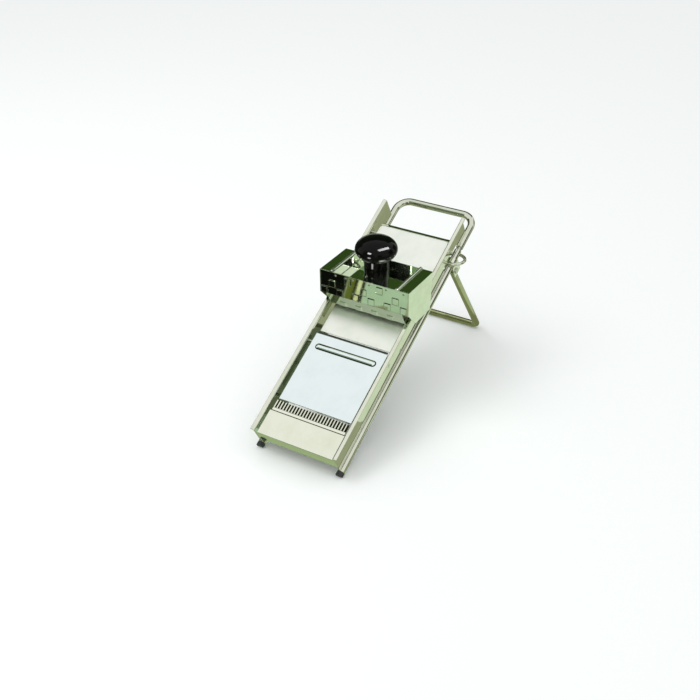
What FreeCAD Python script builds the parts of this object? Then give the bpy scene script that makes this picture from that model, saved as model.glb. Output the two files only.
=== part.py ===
import FreeCAD, Part
import math
import os
import re
import Sketcher

# Mandoline slicer on an inclined frame: a bent tube with two side rails, three plates with two
# blades, a food carriage with a pusher, and a folding leg. Sizes are in millimetres.
# The bed has its own axes: X across, Y up the slope and Z square to the centre plate, whose top
# is Z = 0 and whose slope starts at Y = 0. The carriage has level axes.

SIZES = {
    # bed and sheet
    "bed_tilt": 27.7,
    "sheet_wall": 1.2,
    "running_gap": 0.05,
    "slide_gap": 0.6,
    # frame tube and its plugs
    "tube_radius": 5.0,
    "tube_wall": 1.2,
    "tube_shift": 1.5,
    "tube_drop": 28.5,
    "tube_length": 422.0,
    "handle_bend": 19.0,
    "handle_reach": 37.0,
    "joint_past": 15.0,
    "joint_gap": 5.0,
    "spigot_hold": 15.0,
    "plug_head": 5.5,
    "plug_depth": 10.0,
    "foot_flat": 2.5,
    # side rails
    "rail_gauge": 115.8,
    "rail_rise": 8.0,
    "web_lap": 1.0,
    "flange_width": 5.5,
    "fold_radius": 1.6,
    "edge_radius": 0.9,
    # plates
    "end_length": 35.0,
    "end_side_gap": 2.5,
    "end_rise": 2.5,
    "apron_height": 17.5,
    "centre_start": 54.0,
    "centre_end": 159.0,
    "centre_side_gap": 4.1,
    "feed_start": 165.0,
    "feed_short": 35.0,
    "feed_side_gap": 4.9,
    "feed_drop": 3.6,
    "feed_corner": 5.0,
    "centre_skirt": 9.0,
    "feed_skirt": 7.5,
    "skirt_inset": 3.0,
    # pressed rib of the centre plate
    "rib_place": 140.6,
    "rib_inset": 12.9,
    "rib_width": 8.2,
    "rib_rise": 1.8,
    # blades
    "blade_wall": 1.5,
    "blade_reach": 3.5,
    "blade_depth": 22.0,
    "bevel_length": 3.0,
    "edge_wall": 0.12,
    "blade_side_gap": 0.2,
    "wave_side_gap": 4.15,
    "wave_height": 3.0,
    "wave_count": 25.0,
    "wave_start": 40.0,
    "wave_length": 11.0,
    "shank_length": 16.0,
    "rivet_radius": 2.0,
    "rivet_head": 1.0,
    "rivet_inset": 17.9,
    # hinge rods, tie rods and cam shafts
    "hinge_radius": 2.5,
    "feed_hinge_inset": 12.0,
    "feed_hinge_drop": 8.6,
    "centre_hinge_place": 148.0,
    "centre_hinge_drop": 6.5,
    "tie_radius": 2.5,
    "tie_drop": 20.2,
    "low_tie_place": 118.0,
    "high_tie_place": 262.0,
    "shaft_radius": 3.0,
    "feed_shaft_place": 178.0,
    "feed_shaft_drop": 17.0,
    "centre_shaft_place": 64.0,
    "centre_shaft_drop": 15.0,
    "cam_lift": 0.1,
    "cam_width": 6.0,
    "cam_inset": 15.9,
    "cam_gap": 0.1,
    "hub_radius": 5.2,
    "lever_hub_radius": 5.0,
    "feed_lever_down": 40.0,
    "feed_lever_up": 27.0,
    "centre_lever_down": 50.0,
    "centre_lever_up": 24.0,
    "lever_length": 34.0,
    "lever_width": 9.0,
    "lever_wall": 4.0,
    "lever_droop": 38.0,
    "lever_knob_radius": 6.0,
    # leg, its clips and stop rings
    "leg_radius": 4.7,
    "leg_wall": 1.2,
    "leg_inset": 8.5,
    "leg_bend": 8.0,
    "pivot_inset": 54.0,
    "pivot_gap": 6.2,
    "pivot_radius": 2.5,
    "eye_radius": 5.4,
    "eye_width": 9.7,
    "eye_length": 9.0,
    "eye_spigot": 12.0,
    "clip_wall": 1.5,
    "saddle_start": 0.6,
    "saddle_length": 8.0,
    "ear_before": 6.0,
    "ear_after": 11.0,
    "ear_depth": 19.0,
    "stop_radius": 2.0,
    "stop_down": 5.5,
    "pin_head_radius": 4.2,
    "pin_head": 1.6,
    "ring_wire": 2.2,
    "ring_shift": 10.0,
    "window_length": 44.0,
    "window_height": 8.0,
    # carriage
    "carriage_place": 207.0,
    "carriage_gap": 3.2,
    "carriage_depth": 67.2,
    "side_gap": 1.6,
    "front_fold": 22.2,
    "front_height": 33.2,
    "panel_gap": 1.4,
    "side_depth": 54.0,
    "side_notch": 19.8,
    "side_lean": 5.7,
    "well_inset": 11.9,
    "rim_width": 5.0,
    "glide_gap": 0.1,
    "glide_start": 8.0,
    "glide_length": 52.0,
    "claw_size": 8.6,
    "claw_reach": 1.0,
    "claw_high": 8.0,
    "claw_middle": 17.0,
    "claw_low": 28.0,
    "claw_foot": 1.0,
    "claw_edge": 1.4,
    "claw_slit": 1.1,
    "high_claw_count": 5.0,
    "low_claw_count": 6.0,
    "foot_claw_count": 4.0,
    "ledge_width": 2.5,
    # pusher and knob
    "pusher_wall": 2.0,
    "pusher_depth": 13.0,
    "spike_radius": 1.0,
    "spike_length": 4.0,
    "knob_radius": 28.0,
    "knob_height": 34.5,
    "knob_lift": 31.7,
    "stem_radius": 16.0,
    "groove_depth": 0.8,
    "groove_width": 1.4,
    "groove_lift": 5.3,
    "screw_radius": 3.0,
    "screw_depth": 14.0,
    "screw_head_radius": 5.5,
    "screw_head": 2.0,
}

# Sizes that follow from the driving ones
RULES = {
    "tube_offset": "(rail_gauge/2 + tube_shift)",
    "rail_length": "(tube_length - handle_reach)",
    "end_width": "(rail_gauge - 2*end_side_gap)",
    "centre_width": "(rail_gauge - 2*centre_side_gap)",
    "feed_width": "(rail_gauge - 2*feed_side_gap)",
    "feed_end": "(rail_length - feed_short)",
    "feed_hinge_place": "(feed_end - feed_hinge_inset)",
    "rib_length": "(rail_gauge - 2*rib_inset)",
    "blade_width": "(centre_width - 2*sheet_wall - 2*blade_side_gap)",
    "wave_width": "(rail_gauge - 2*wave_side_gap)",
    "rivet_spread": "(rail_gauge/2 - rivet_inset)",
    "cam_spread": "(rail_gauge/2 - cam_inset)",
    "pivot_place": "(rail_length - pivot_inset)",
    "arm_top": "(pivot_place + ring_shift + joint_past)",
    "leg_reach": "(tube_length - leg_inset)",
    "carriage_width": "(rail_gauge + 2*flange_width + 2*side_gap + 2*sheet_wall)",
    "well_width": "(rail_gauge - 2*well_inset)",
    "claw_pitch": "((carriage_width - 2*sheet_wall - claw_size - 2*claw_edge)/(low_claw_count - 1))",
}

doc = FreeCAD.newDocument("MandolineSlicer")
sheet = doc.addObject("Spreadsheet::Sheet", "Sizes")
for row, (alias, number) in enumerate(SIZES.items(), start=1):
    sheet.set(f"A{row}", alias)
    sheet.set(f"B{row}", str(number))
    sheet.setAlias(f"B{row}", alias)
doc.recompute()

SUBPARTS = []
SIDES = {"left": "-1", "right": "1"}
WORD = re.compile(r"[a-z_]+")
X_AXIS = FreeCAD.Vector(1, 0, 0)
Y_AXIS = FreeCAD.Vector(0, 1, 0)
Z_AXIS = FreeCAD.Vector(0, 0, 1)
TURN = {
    "x": FreeCAD.Rotation(Y_AXIS, 90),
    "y": FreeCAD.Rotation(X_AXIS, -90),
    "z": FreeCAD.Rotation(),
}

# Formulas that several pieces share
BED_Z = "(plug_head*sin(bed_tilt) + (tube_radius + tube_drop)*cos(bed_tilt) - foot_flat)"
BED_Y = "(-(leg_reach + leg_radius - rail_rise*sin(bed_tilt))/2)"
WEB = "(rail_gauge/2)"
WEB_OUT = "(rail_gauge/2 + sheet_wall)"
PIVOT_DROP = "(tube_drop + tube_radius + pivot_gap)"
PIVOT_Y = f"({BED_Y} + pivot_place*cos(bed_tilt) + {PIVOT_DROP}*sin(bed_tilt))"
PIVOT_Z = f"({BED_Z} + pivot_place*sin(bed_tilt) - {PIVOT_DROP}*cos(bed_tilt))"
FOOT_OUT = f"({BED_Y} + leg_reach - {PIVOT_Y})"
FOOT_DOWN = f"({PIVOT_Z} - leg_radius)"
LEG_LENGTH = f"sqrt({FOOT_OUT}^2 + {FOOT_DOWN}^2)"
LEG_LEAN = f"(atan2({FOOT_OUT}; {FOOT_DOWN}) - bed_tilt*1 deg)"
EAR_LENGTH = "(ear_before + ear_after)"
FOLD_Y = "(-front_fold*sin(bed_tilt))"
FOLD_Z = "(front_fold*cos(bed_tilt))"
TOP_Z = f"({FOLD_Z} + front_height)"
BACK_Y = f"({FOLD_Y} + carriage_depth)"
WELL = "(well_width/2)"
WELL_OUT = "(well_width/2 + sheet_wall)"
SIDE_IN = "(carriage_width/2 - sheet_wall)"
PANEL = "(rail_gauge/2 - panel_gap)"
PUSHER_TOP = f"({TOP_Z} - pusher_depth)"
PUSHER_LOW = f"({PUSHER_TOP} - pusher_wall)"
KNOB_Y = f"(({FOLD_Y} + {BACK_Y})/2)"


def size(alias):
    """Read one driving dimension from the sheet."""
    return float(sheet.get(alias))


def linked(formula):
    """Write a formula's size names as references to the sheet, its rules written out."""
    def reference(word):
        if word[0] in RULES:
            return linked(RULES[word[0]])
        return "Sizes." + word[0] if word[0] in SIZES else word[0]

    return WORD.sub(reference, formula)


def bind(item, **formulas):
    """Tie properties of an object to formulas."""
    for name, formula in formulas.items():
        item.setExpression(name, linked(formula))


def move(item, point):
    """Tie an object's position to three formulas."""
    for axis, formula in zip("xyz", point):
        item.setExpression(f"Placement.Base.{axis}", linked(formula))


def tilt(item, formula):
    """Turn an object about the X axis by a formula in degrees."""
    base = item.Placement.Base
    item.Placement = FreeCAD.Placement(base, FreeCAD.Rotation(X_AXIS, 1))
    item.setExpression("Placement.Rotation.Angle", linked(formula))


def block(name, lengths, corner):
    """A box from its lowest corner."""
    item = doc.addObject("Part::Box", name)
    bind(item, Length=lengths[0], Width=lengths[1], Height=lengths[2])
    move(item, corner)
    return item


def rod(name, radius, length, start, along="x"):
    """A round bar from the centre of one end, along one axis."""
    item = doc.addObject("Part::Cylinder", name)
    item.Placement = FreeCAD.Placement(FreeCAD.Vector(), TURN[along])
    bind(item, Radius=radius, Height=length)
    move(item, start)
    return item


def ball(name, radius, centre):
    """A sphere about its centre."""
    item = doc.addObject("Part::Sphere", name)
    bind(item, Radius=radius)
    move(item, centre)
    return item


def joined(name, items):
    """One solid from overlapping pieces."""
    item = doc.addObject("Part::MultiFuse", name)
    item.Shapes = items
    item.Refine = True
    return item


def carved(name, base, *tools):
    """A piece with the tools cut out of it."""
    item = doc.addObject("Part::Cut", name)
    item.Base = base
    item.Tool = tools[0] if len(tools) == 1 else joined(name + "_cutters", list(tools))
    return item


def rounded(name, base, radius, chosen):
    """A piece with the edges that a test picks rounded to a radius of the sheet."""
    doc.recompute()
    item = doc.addObject("Part::Fillet", name)
    item.Base = base
    item.Edges = [(number, size(radius), size(radius))
                  for number, edge in enumerate(base.Shape.Edges, start=1) if chosen(edge)]
    return item


def level_edge(edge, height, depth):
    """Whether both ends of an edge are at one height and no nearer than a depth along Y."""
    ends = [vertex.Point for vertex in edge.Vertexes]
    return all(abs(end.z - height) < 1e-6 and end.y > depth - 1e-6 for end in ends)


def pipe(name, radius, wall, length, start, along="x"):
    """A straight piece of tube from the centre of one end, along one axis."""
    outside = rod(f"{name}_outside", radius, length, start, along)
    inside = rod(f"{name}_inside", f"{radius} - {wall}", length, start, along)
    return carved(name, outside, inside)


def elbow(name, radius, wall, bend, centre, turn):
    """A quarter bend of tube about a centre, turned from the XY plane's first quarter."""
    rings = []
    for part, thick in (("outside", radius), ("inside", f"{radius} - {wall}")):
        ring = doc.addObject("Part::Torus", f"{name}_{part}")
        ring.Placement.Rotation = turn
        bind(ring, Radius1=bend, Radius2=thick, Angle3="90")
        move(ring, centre)
        rings.append(ring)
    return carved(name, *rings)


def grouped(name, items):
    """Separate solids of one kind, kept together."""
    item = doc.addObject("Part::Compound", name)
    item.Links = items
    return item


def pad(body, name, plane, outline, start, depth):
    """Pad a closed outline of formula points, from a start along the plane's axis."""
    sketch = body.newObject("Sketcher::SketchObject", name + "_outline")
    origin = next(o for o in body.Origin.OriginFeatures if o.Role == plane + "_Plane")
    sketch.AttachmentSupport = [(origin, "")]
    sketch.MapMode = "FlatFace"
    count = len(outline)
    corners = []
    for index in range(count):
        turn = 2 * math.pi * index / count
        corners.append(FreeCAD.Vector(math.cos(turn), math.sin(turn), 0))
    for index in range(count):
        sketch.addGeometry(Part.LineSegment(corners[index], corners[(index + 1) % count]), False)
    for index in range(count):
        sketch.addConstraint(Sketcher.Constraint("Coincident", index, 2, (index + 1) % count, 1))
    for index, point in enumerate(outline):
        for kind, formula in zip(("DistanceX", "DistanceY"), point):
            number = sketch.addConstraint(Sketcher.Constraint(kind, index, 1, 0.0))
            sketch.setExpression(f"Constraints[{number}]", linked(formula))
    feature = body.newObject("PartDesign::Pad", name + "_pad")
    feature.Profile = sketch
    feature.Reversed = plane == "XZ"
    away = f"-({start})" if plane == "XZ" else start
    sketch.setExpression("AttachmentOffset.Base.z", linked(away))
    bind(feature, Length=depth)
    return feature


def plate_body(name, plane, outline, start, depth):
    """A body made of one padded outline."""
    body = doc.addObject("PartDesign::Body", name)
    pad(body, name, plane, outline, start, depth)
    return body


def on_bed(item):
    """Seat a finished sub-part on the tilted bed."""
    tilt(item, "bed_tilt")
    move(item, ("0", BED_Y, BED_Z))
    SUBPARTS.append(item)


def on_carriage(item):
    """Seat a finished sub-part in the carriage's level frame, at the front plate's foot."""
    forward = f"{BED_Y} + carriage_place*cos(bed_tilt) - carriage_gap*sin(bed_tilt)"
    upward = f"{BED_Z} + carriage_place*sin(bed_tilt) + carriage_gap*cos(bed_tilt)"
    move(item, ("0", forward, upward))
    SUBPARTS.append(item)


def on_leg(item):
    """Seat a finished sub-part in the leg's frame: pivot at the origin, leg along -Z."""
    tilt(item, f"atan2({FOOT_OUT}; {FOOT_DOWN})")
    move(item, ("0", PIVOT_Y, PIVOT_Z))
    SUBPARTS.append(item)


def start_of(side, near, far):
    """Where a strip between two distances from the middle starts, on one side."""
    return near if side == "right" else f"(-{far})"


# Frame: an arm of tube along each side, and a bent handle that spigots join to the arms
BEND_START = "(tube_length - tube_radius - handle_bend)"
HANDLE_START = "(arm_top + joint_gap)"
handle_pieces = [pipe("handle_bar", "tube_radius", "tube_wall", "2*(tube_offset - handle_bend)",
                      ("handle_bend - tube_offset", "tube_length - tube_radius", "-tube_drop"))]
spigots = []
for side, sign in SIDES.items():
    place = f"{sign}*tube_offset"
    on_bed(pipe(f"{side}_arm_tube", "tube_radius", "tube_wall", "arm_top", (place, "0", "-tube_drop"), "y"))
    handle_pieces.append(pipe(f"handle_{side}_end", "tube_radius", "tube_wall",
                              f"{BEND_START} - {HANDLE_START}", (place, HANDLE_START, "-tube_drop"), "y"))
    handle_pieces.append(elbow(f"handle_{side}_bend", "tube_radius", "tube_wall", "handle_bend",
                               (f"{sign}*(tube_offset - handle_bend)", BEND_START, "-tube_drop"),
                               FreeCAD.Rotation(Z_AXIS, 0 if side == "right" else 90)))
    spigots.append(rod(f"{side}_spigot", "tube_radius - tube_wall - running_gap", "joint_gap + 2*spigot_hold",
                       (place, "arm_top - spigot_hold", "-tube_drop"), "y"))
on_bed(joined("handle_tube", handle_pieces))
on_bed(grouped("handle_spigots", spigots))

# Plugs in the arms' low ends, each cut level where it stands on the table
table = block("table", ("2*rail_gauge", "rail_gauge", "tube_drop"), ("0", "0", "0"))
tilt(table, "-bed_tilt")
table_back = "-(tube_drop*sin(bed_tilt) + rail_gauge/2*cos(bed_tilt))"
table_down = f"rail_gauge/2*sin(bed_tilt) - tube_drop*cos(bed_tilt) - {BED_Z}/cos(bed_tilt)"
move(table, ("-rail_gauge", table_back, table_down))

plugs = []
for side, sign in SIDES.items():
    place = f"{sign}*tube_offset"
    head = rod(f"{side}_plug_head", "tube_radius", "plug_head", (place, "-plug_head", "-tube_drop"), "y")
    fit = "tube_radius - tube_wall - running_gap"
    stub = rod(f"{side}_plug_stub", fit, "plug_depth", (place, "0", "-tube_drop"), "y")
    plugs.append(joined(f"{side}_plug", [head, stub]))
on_bed(carved("tube_end_plugs", grouped("plug_pair", plugs), table))

# Side rails: a web that stands on the tube and a top flange that turns outward
HOLES = (
    ("feed_hinge", "hinge_radius", "feed_hinge_place", "feed_hinge_drop"),
    ("centre_hinge", "hinge_radius", "centre_hinge_place", "centre_hinge_drop"),
    ("low_tie", "tie_radius", "low_tie_place", "tie_drop"),
    ("high_tie", "tie_radius", "high_tie_place", "tie_drop"),
    ("feed_shaft", "shaft_radius", "feed_shaft_place", "feed_shaft_drop"),
    ("centre_shaft", "shaft_radius", "centre_shaft_place", "centre_shaft_drop"),
)


def side_rail(side, sign):
    """One side rail with its rod holes and the window at the leg hinge."""
    name = f"{side}_side_rail"
    low = "(web_lap - tube_drop)"
    web = block(f"{name}_web", ("sheet_wall", "rail_length", f"rail_rise - {low}"),
                (start_of(side, WEB, WEB_OUT), "0", low))
    flange = block(f"{name}_flange", ("flange_width - sheet_wall", "rail_length", "sheet_wall"),
                   (start_of(side, WEB_OUT, f"({WEB} + flange_width)"), "0", "rail_rise - sheet_wall"))
    cutters = [rod(f"{name}_tube_seat", "tube_radius", "rail_length",
                   (f"{sign}*tube_offset", "0", "-tube_drop"), "y")]
    for hole, radius, place, drop in HOLES:
        start = (f"{sign}*rail_gauge/2 - 2*sheet_wall", place, f"-{drop}")
        cutters.append(rod(f"{name}_{hole}_hole", f"{radius} + running_gap", "4*sheet_wall", start))
    opening = ("4*sheet_wall", "window_length", "window_height + tube_radius")
    corner = (f"{sign}*rail_gauge/2 - 2*sheet_wall",
              "pivot_place + ring_shift/2 - window_length/2", "-tube_drop")
    cutters.append(block(f"{name}_window", opening, corner))
    inside = int(sign) * size("rail_gauge") / 2
    folded = rounded(f"{name}_fold", joined(f"{name}_sheet", [web, flange]), "fold_radius",
                     lambda edge: level_edge(edge, size("rail_rise"), 0)
                     and all(abs(vertex.X - inside) < 1e-6 for vertex in edge.Vertexes))
    on_bed(carved(name, folded, *cutters))


for side, sign in SIDES.items():
    side_rail(side, sign)

# End plate: a flat top and a wider apron folded down at the front, which joins the two rails
end_top = block("end_plate_top", ("end_width", "end_length", "sheet_wall"),
                ("-end_width/2", "0", "end_rise - sheet_wall"))
apron = block("end_plate_apron", ("rail_gauge", "sheet_wall", "apron_height"),
              ("-rail_gauge/2", "0", "end_rise - apron_height"))
on_bed(rounded("end_plate", joined("end_plate_sheet", [end_top, apron]), "edge_radius",
               lambda edge: level_edge(edge, size("end_rise"), 0)
               and all(abs(vertex.Y) < 1e-6 for vertex in edge.Vertexes)))


# Wavy blade: a flat shank under the end plate and a fluted edge that points up the slope
def wavy_edge():
    """The fluted strip: arcs of sheet that alternate up and down."""
    wall = size("sheet_wall")
    count = int(size("wave_count"))
    pitch = (size("rail_gauge") - 2 * size("wave_side_gap")) / count
    swing = (size("wave_height") - wall) / 2
    middle = size("end_rise") - wall - wall / 2
    left = -count * pitch / 2
    upper = []
    lower = []
    for half in range(2 * count):
        start = left + half * pitch / 2
        rise = swing if half % 2 == 0 else -swing
        for edge, level in ((upper, middle + wall / 2), (lower, middle - wall / 2)):
            a = FreeCAD.Vector(start, 0, level)
            b = FreeCAD.Vector(start + pitch / 4, 0, level + rise)
            c = FreeCAD.Vector(start + pitch / 2, 0, level)
            edge.append(Part.Arc(a, b, c).toShape())
    right = left + count * pitch
    ends = []
    for x in (left, right):
        top = FreeCAD.Vector(x, 0, middle + wall / 2)
        bottom = FreeCAD.Vector(x, 0, middle - wall / 2)
        ends.append(Part.LineSegment(top, bottom).toShape())
    wire = Part.Wire(Part.__sortEdges__(upper + lower + ends))
    strip = Part.Face(wire).extrude(FreeCAD.Vector(0, size("wave_length"), 0))
    strip.translate(FreeCAD.Vector(0, size("wave_start"), 0))
    return strip


fluted = doc.addObject("Part::Feature", "wavy_edge")
fluted.Shape = wavy_edge()
shank_back = "(wave_start - shank_length)"
shank = block("wavy_shank", ("wave_width", "shank_length", "sheet_wall"),
              ("-wave_width/2", shank_back, "end_rise - 2*sheet_wall"))
rivet_low = "(end_rise - 2*sheet_wall - rivet_head)"
shank_rivets = []
shank_holes = []
for index, spot in enumerate(("-rivet_spread", "0", "rivet_spread"), start=1):
    place = (spot, f"({shank_back} + end_length)/2", rivet_low)
    stem = rod(f"wavy_rivet_{index}_stem", "rivet_radius", "rivet_head + sheet_wall", place, "z")
    head = rod(f"wavy_rivet_{index}_head", "2*rivet_radius", "rivet_head", place, "z")
    shank_rivets.append(joined(f"wavy_rivet_{index}", [stem, head]))
    shank_holes.append(rod(f"wavy_hole_{index}", "rivet_radius", "3*sheet_wall", place, "z"))
on_bed(carved("wavy_blade", joined("wavy_blank", [shank, fluted]), *shank_holes))
on_bed(grouped("wavy_blade_rivets", shank_rivets))


# Rods between the rails, flush with the outside of the webs
def cross_rod(name, radius, place, drop):
    """A rod across the bed, from the outside of one web to the outside of the other."""
    return rod(name, radius, f"2*{WEB_OUT}", (f"-{WEB_OUT}", place, f"-{drop}"))


on_bed(grouped("feed_hinge_rod", [cross_rod("feed_hinge_bar", "hinge_radius", "feed_hinge_place",
                                            "feed_hinge_drop")]))
on_bed(grouped("centre_hinge_rod", [cross_rod("centre_hinge_bar", "hinge_radius",
                                              "centre_hinge_place", "centre_hinge_drop")]))
ties = [cross_rod(f"{end}_tie_bar", "tie_radius", f"{end}_tie_place", "tie_drop")
        for end in ("low", "high")]
on_bed(grouped("tie_rods", ties))


# Plates that tilt: a sheet with a skirt along each side, drilled for its hinge rod
def skirts(name, width, top, start, end):
    """The two side skirts of a tilting plate, and the drill for its hinge rod."""
    pieces = []
    for side, corner in (("left", f"-{width}/2"), ("right", f"{width}/2 - sheet_wall")):
        pieces.append(block(f"{name}_{side}_flap", ("sheet_wall", f"{end} - {start}", f"{name}_skirt"),
                            (corner, start, f"{top} - sheet_wall - {name}_skirt")))
    drill = rod(f"{name}_hinge_hole", "hinge_radius + running_gap", f"{width} + 2*sheet_wall",
                (f"-{width}/2 - sheet_wall", f"{name}_hinge_place", f"-{name}_hinge_drop"))
    return pieces, drill


def rib_core(name, radius):
    """A capsule across the bed whose top is the pressed rib."""
    centre = "(rib_rise - (rib_rise^2 + (rib_width/2)^2)/(2*rib_rise))"
    half = "(rib_length - rib_width)/2"
    bar = rod(f"{name}_bar", radius, f"2*{half}", (f"-{half}", "rib_place", centre))
    pieces = [bar]
    for end, sign in SIDES.items():
        pieces.append(ball(f"{name}_{end}", radius, (f"{sign}*{half}", "rib_place", centre)))
    return joined(name, pieces)


RIB_RADIUS = "((rib_rise^2 + (rib_width/2)^2)/(2*rib_rise))"
centre_sheet = block("centre_sheet", ("centre_width", "centre_end - centre_start", "sheet_wall"),
                     ("-centre_width/2", "centre_start", "-sheet_wall"))
centre_skirts, centre_drill = skirts("centre", "centre_width", "0",
                                     "(centre_shaft_place + 4*shaft_radius)",
                                     "(centre_end - skirt_inset)")
above = block("rib_keep", ("rib_length + rib_width", "3*rib_width", "2*rib_width"),
              ("-(rib_length + rib_width)/2", "rib_place - 1.5*rib_width", "-sheet_wall"))
rib = doc.addObject("Part::Common", "pressed_rib")
rib.Base = rib_core("rib_outside", RIB_RADIUS)
rib.Tool = above
rib_hollow = rib_core("rib_inside", f"{RIB_RADIUS} - sheet_wall")
centre_blank = joined("centre_blank", [centre_sheet, rib] + centre_skirts)
on_bed(carved("centre_plate", centre_blank, rib_hollow, centre_drill))

feed_level = "(-feed_drop)"
straight_end = "(feed_end - feed_corner)"
feed_pieces = [
    block("feed_main", ("feed_width", f"{straight_end} - feed_start", "sheet_wall"),
          ("-feed_width/2", "feed_start", f"{feed_level} - sheet_wall")),
    block("feed_tip", ("feed_width - 2*feed_corner", "feed_corner", "sheet_wall"),
          ("feed_corner - feed_width/2", straight_end, f"{feed_level} - sheet_wall")),
]
for side, sign in SIDES.items():
    spot = (f"{sign}*(feed_width/2 - feed_corner)", straight_end, f"{feed_level} - sheet_wall")
    feed_pieces.append(rod(f"feed_{side}_corner", "feed_corner", "sheet_wall", spot, "z"))
feed_skirts, feed_drill = skirts("feed", "feed_width", feed_level,
                                 "(feed_shaft_place + 4*shaft_radius)", straight_end)
feed_blank = joined("feed_blank", feed_pieces + feed_skirts)
feed_round = rounded("feed_round", feed_blank, "edge_radius",
                     lambda edge: level_edge(edge, -size("feed_drop"),
                                             size("feed_start") + size("feed_corner")))
on_bed(carved("feed_plate", feed_round, feed_drill))

# Straight blade: riveted under the centre plate, its bevelled edge past the plate's end
blade_tip = "(centre_end + blade_reach)"
blade_outline = [
    (f"{blade_tip} - blade_depth", "-sheet_wall - blade_wall"),
    (f"{blade_tip} - bevel_length", "-sheet_wall - blade_wall"),
    (blade_tip, "-sheet_wall - edge_wall"),
    (blade_tip, "-sheet_wall"),
    (f"{blade_tip} - blade_depth", "-sheet_wall"),
]
blade = plate_body("blade_blank", "YZ", blade_outline, "-blade_width/2", "blade_width")
blade_rivets = []
blade_holes = []
for index, spot in enumerate(("-rivet_spread", "0", "rivet_spread"), start=1):
    place = (spot, "centre_end - 3*rivet_radius", "-sheet_wall - blade_wall - rivet_head")
    stem = rod(f"blade_rivet_{index}_stem", "rivet_radius", "rivet_head + blade_wall", place, "z")
    head = rod(f"blade_rivet_{index}_head", "2*rivet_radius", "rivet_head", place, "z")
    blade_rivets.append(joined(f"blade_rivet_{index}", [stem, head]))
    blade_holes.append(rod(f"blade_hole_{index}", "rivet_radius", "3*blade_wall", place, "z"))
on_bed(carved("straight_blade", blade, *blade_holes))
on_bed(grouped("straight_blade_rivets", blade_rivets))


# Cam shafts: a shaft across the rails, two cams whose lift grows evenly with the turn, a lever
def cam_shape(width, rest, down, up):
    """A cam disc whose flat follower rises evenly with the turn: the involute of a small circle.

    Its distance to the follower is rest at no turn, and grows by cam_lift for each degree.
    """
    rate = math.degrees(size("cam_lift"))
    steps = 24
    spare = 4.0
    points = []
    for step in range(steps + 1):
        turn = math.radians(-down - spare + (down + up + 2 * spare) * step / steps)
        facing = math.pi / 2 - turn
        reach = rest + rate * turn
        y = reach * math.cos(facing) + rate * math.sin(facing)
        z = reach * math.sin(facing) - rate * math.cos(facing)
        points.append(FreeCAD.Vector(0, y, z))
    curve = Part.BSplineCurve()
    curve.interpolate(points)
    centre = FreeCAD.Vector(0, 0, 0)
    edges = [curve.toShape(), Part.LineSegment(points[-1], centre).toShape(),
             Part.LineSegment(centre, points[0]).toShape()]
    face = Part.Face(Part.Wire(edges))
    lobe = face.extrude(FreeCAD.Vector(width, 0, 0))
    hub = Part.makeCylinder(size("hub_radius"), width, centre, X_AXIS)
    hole = Part.makeCylinder(size("shaft_radius"), width, centre, X_AXIS)
    return lobe.fuse(hub).removeSplitter().cut(hole)


def lever_set(plate, level):
    """Shaft, cams, lever and lever knob under one tilting plate."""
    place = f"{plate}_shaft_place"
    drop = f"{plate}_shaft_drop"
    shaft = cross_rod(f"{plate}_shaft_bar", "shaft_radius", place, drop)
    on_bed(grouped(f"{plate}_cam_shaft", [shaft]))
    rest = size(drop) + level - size("sheet_wall") - size("cam_gap")
    disc = cam_shape(size("cam_width"), rest, size(f"{plate}_lever_down"), size(f"{plate}_lever_up"))
    cams = []
    for side, sign in SIDES.items():
        cam = doc.addObject("Part::Feature", f"{plate}_{side}_cam")
        cam.Shape = disc
        move(cam, (f"{sign}*cam_spread - cam_width/2", place, f"-{drop}"))
        cams.append(cam)
    on_bed(grouped(f"{plate}_cams", cams))
    hub = rod(f"{plate}_lever_hub", "lever_hub_radius", "2*lever_wall", ("-lever_wall", "0", "0"))
    arm = block(f"{plate}_lever_arm", ("lever_wall", "lever_length", "lever_width"),
                ("-lever_wall/2", "0", "-lever_width/2"))
    eye = rod(f"{plate}_lever_bore", "shaft_radius", "4*lever_wall", ("-2*lever_wall", "0", "0"))
    knob = ball(f"{plate}_lever_ball", "lever_knob_radius", ("0", "lever_length", "0"))
    lever = carved(f"{plate}_lever_blade", joined(f"{plate}_lever_blank", [hub, arm]), eye, knob)
    for name, piece in ((f"{plate}_lever", lever), (f"{plate}_lever_knob", knob)):
        turned = grouped(f"{name}_turned", [piece])
        tilt(turned, "-lever_droop")
        move(turned, ("0", place, f"-{drop}"))
        on_bed(grouped(name, [turned]))


lever_set("feed", -size("feed_drop"))
lever_set("centre", 0.0)


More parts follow.
